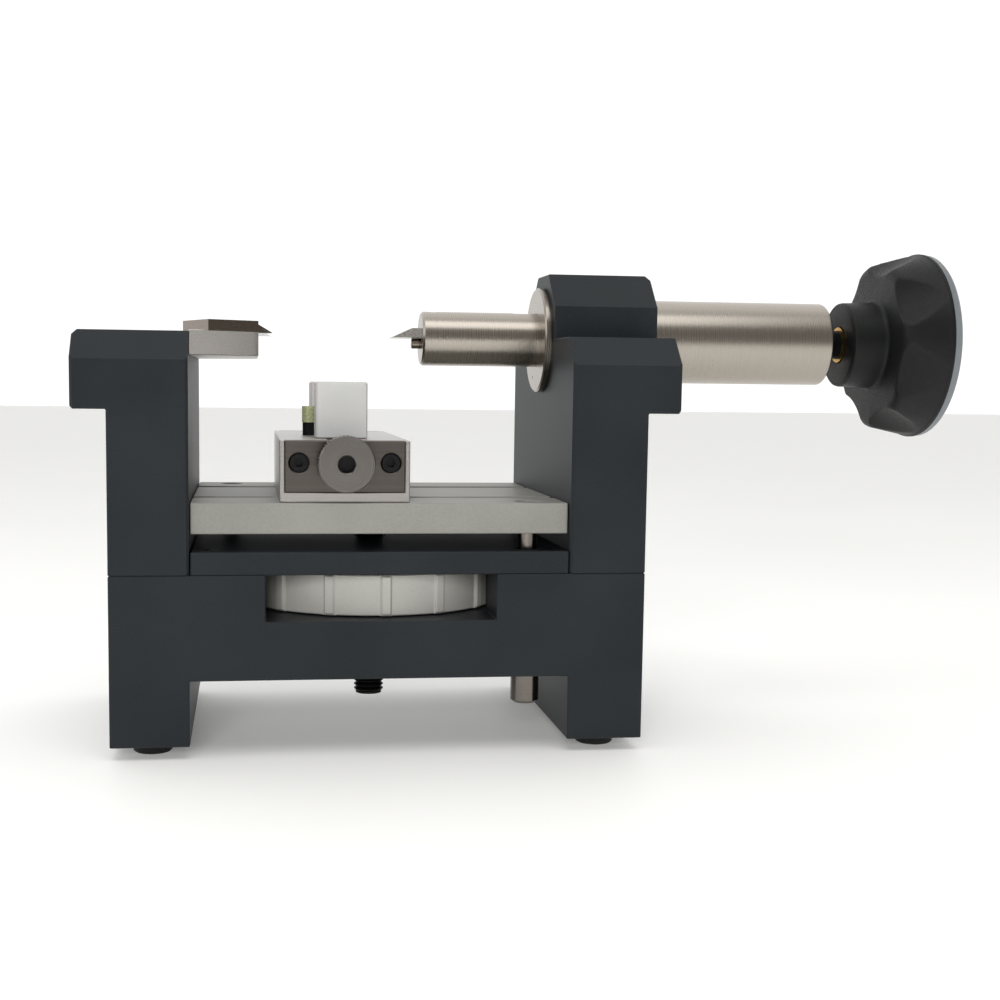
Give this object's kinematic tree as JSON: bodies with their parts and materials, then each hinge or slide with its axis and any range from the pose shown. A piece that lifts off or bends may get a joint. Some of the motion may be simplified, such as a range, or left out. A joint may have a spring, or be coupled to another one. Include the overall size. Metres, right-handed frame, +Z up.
{
  "type": "two blade bezel and case back opener",
  "caption": "Bench tool with two opposed horizontal blades, a screw fed spindle and a lift table with a small self-centring vise, for prying off watch bezels and press-fit case backs.",
  "frame": {"origin": "centre of the body's footprint, at the level of the bench under the rubber feet", "axes": "+X along the spindle towards the knob, +Y to the back, +Z up"},
  "size_m": [0.2893, 0.1035, 0.1618],
  "materials": {
    "frame_dark": "dark slate grey anodised, fine blasted",
    "table_grey": "light warm grey anodised, satin",
    "machined_aluminium": "machined, fine tool marks",
    "turned_steel": "stainless, turned and brushed round the axis",
    "polished_steel": "hardened, ground and polished",
    "black_screw": "blackened steel",
    "bright_screw": "zinc plated steel",
    "bronze": "bearing bronze, plain",
    "brass": "turned brass",
    "black_knob": "matte moulded, fine grain",
    "cap_grey": "light grey, satin gloss",
    "white_plastic": "white, soft satin",
    "rest_tip": "yellow green, slightly clear",
    "rubber": "black, matte"
  },
  "bodies": {
    "frame": {"base_bridge": "frame_dark", "left_post": "frame_dark", "right_post": "frame_dark", "guard_plate": "frame_dark", "plate_screws": "black_screw", "post_screws": "black_screw", "rubber_feet": "rubber", "guide_bushes": "turned_steel", "thrust_washers": "bronze", "left_bracket": "machined_aluminium", "bracket_screws": "black_screw", "left_knife": "polished_steel", "knife_screws": "black_screw", "flange_bush": "turned_steel", "barrel": "turned_steel", "rear_bush": "bronze", "feed_nut": "bronze", "key_screw": "black_screw"},
    "spindle_slide": {"spindle": "turned_steel", "right_blade": "polished_steel", "blade_pin": "polished_steel", "blade_set_screw": "black_screw", "thrust_ring": "bronze"},
    "feed_knob": {"feed_screw": "black_screw", "knob_insert": "brass", "knob_body": "black_knob", "knob_cap": "cap_grey"},
    "wheel": {"height_wheel": "table_grey", "wheel_nut": "bronze"},
    "table": {"table_plate": "table_grey", "guide_pins": "polished_steel", "pin_screws": "black_screw", "lift_screw": "black_screw", "table_screw": "bright_screw"},
    "vise": {"vise_body": "machined_aluminium", "vise_front_plate": "machined_aluminium", "vise_rear_plate": "machined_aluminium", "vise_screws": "black_screw", "t_nuts": "bright_screw", "t_nut_screws": "bright_screw", "rest_base": "black_knob", "rest_cap": "rest_tip"},
    "vise_screw": {"vise_leadscrew": "turned_steel", "vise_knob": "turned_steel", "vise_knob_screw": "black_screw"},
    "front_jaw_slide": {"front_jaw": "white_plastic", "front_carrier": "machined_aluminium", "front_jaw_screw": "bright_screw"},
    "rear_jaw_slide": {"rear_jaw": "white_plastic", "rear_carrier": "machined_aluminium", "rear_jaw_screw": "bright_screw"}
  },
  "joints": [
    {"name": "spindle_travel", "type": "slide", "parent": "frame", "child": "spindle_slide", "axis": [1, 0, 0], "range_m": [-0.0065, 0.025]},
    {"name": "knob_turn", "type": "hinge", "parent": "spindle_slide", "child": "feed_knob", "pos_m": [0.1638, 0, 0.13], "axis": [1, 0, 0], "range_deg": [-1564, 6006]},
    {"name": "table_lift", "type": "slide", "parent": "frame", "child": "table", "axis": [0, 0, 1], "range_m": [-0.0051, 0.0051]},
    {"name": "wheel_turn", "type": "hinge", "parent": "frame", "child": "wheel", "pos_m": [0, 0, 0.049], "axis": [0, 0, 1], "range_deg": [-1230, 1230]},
    {"name": "vise_travel", "type": "slide", "parent": "table", "child": "vise", "axis": [1, 0, 0], "range_m": [-0.026, 0.048]},
    {"name": "vise_screw_turn", "type": "hinge", "parent": "vise", "child": "vise_screw", "pos_m": [-0.0113, -0.0485, 0.09042], "axis": [0, 1, 0], "range_deg": [-3520, 4130]},
    {"name": "front_jaw_travel", "type": "slide", "parent": "vise", "child": "front_jaw_slide", "axis": [0, 1, 0], "range_m": [-0.0097, 0.0114]},
    {"name": "rear_jaw_travel", "type": "slide", "parent": "vise", "child": "rear_jaw_slide", "axis": [0, -1, 0], "range_m": [-0.0098, 0.0115]}
  ],
  "couplings": [
    {"joint": "knob_turn", "follows": "spindle_travel", "rad_per_m": 4188.8},
    {"joint": "wheel_turn", "follows": "table_lift", "rad_per_m": -4188.8},
    {"joint": "vise_screw_turn", "follows": "front_jaw_travel", "rad_per_m": 6283.2},
    {"joint": "rear_jaw_travel", "follows": "front_jaw_travel", "ratio": 1}
  ]
}
